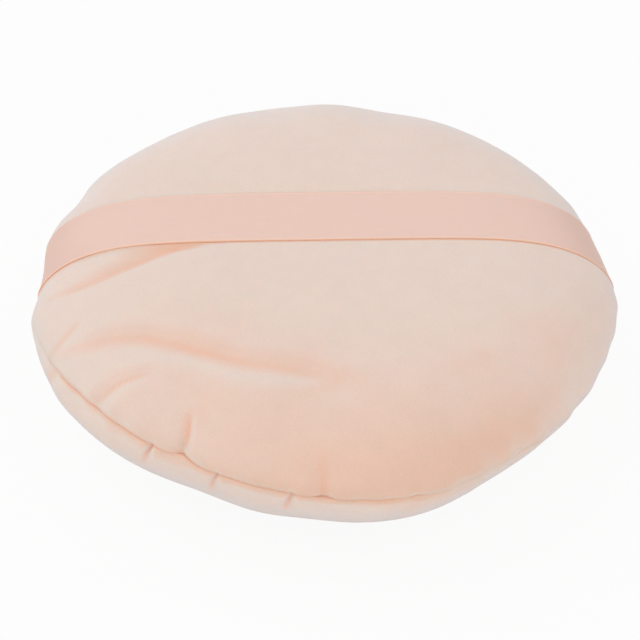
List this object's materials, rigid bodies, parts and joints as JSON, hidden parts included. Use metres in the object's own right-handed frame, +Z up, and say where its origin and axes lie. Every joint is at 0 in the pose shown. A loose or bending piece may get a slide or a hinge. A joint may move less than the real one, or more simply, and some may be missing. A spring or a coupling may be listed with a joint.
{
  "type": "powder puff",
  "caption": "Plump round velour powder puff, sewn from facing panels over a fibre filling, with a satin finger ribbon across its top caught in the side seam.",
  "frame": {"origin": "centre of the flat face under the puff, on the surface it rests on", "axes": "+Z up through the crown to the ribbon's side, +X along the ribbon, the hand-sewn part of the seam at +Y"},
  "size_m": [0.1016, 0.1, 0.0318],
  "materials": {
    "velour": "short dense pile, pale peach",
    "satin_ribbon": "woven satin, soft sheen, peach",
    "fibre_fill": "loose matt fibre, off white",
    "thread": "spun thread, peach"
  },
  "bodies": {
    "pad": {"top_panel": "velour", "bottom_panel": "velour", "filling": "fibre_fill", "needle_thread": "thread", "bobbin_thread": "thread", "closing_thread": "thread", "ribbon_tack_left": "thread", "ribbon_tack_right": "thread"},
    "strap": {"ribbon": "satin_ribbon"}
  },
  "joints": [
    {"name": "strap_lift", "type": "slide", "parent": "pad", "child": "strap", "axis": [0, 0, 1], "range_m": [0, 0.006], "deforming": ["ribbon"]}
  ]
}
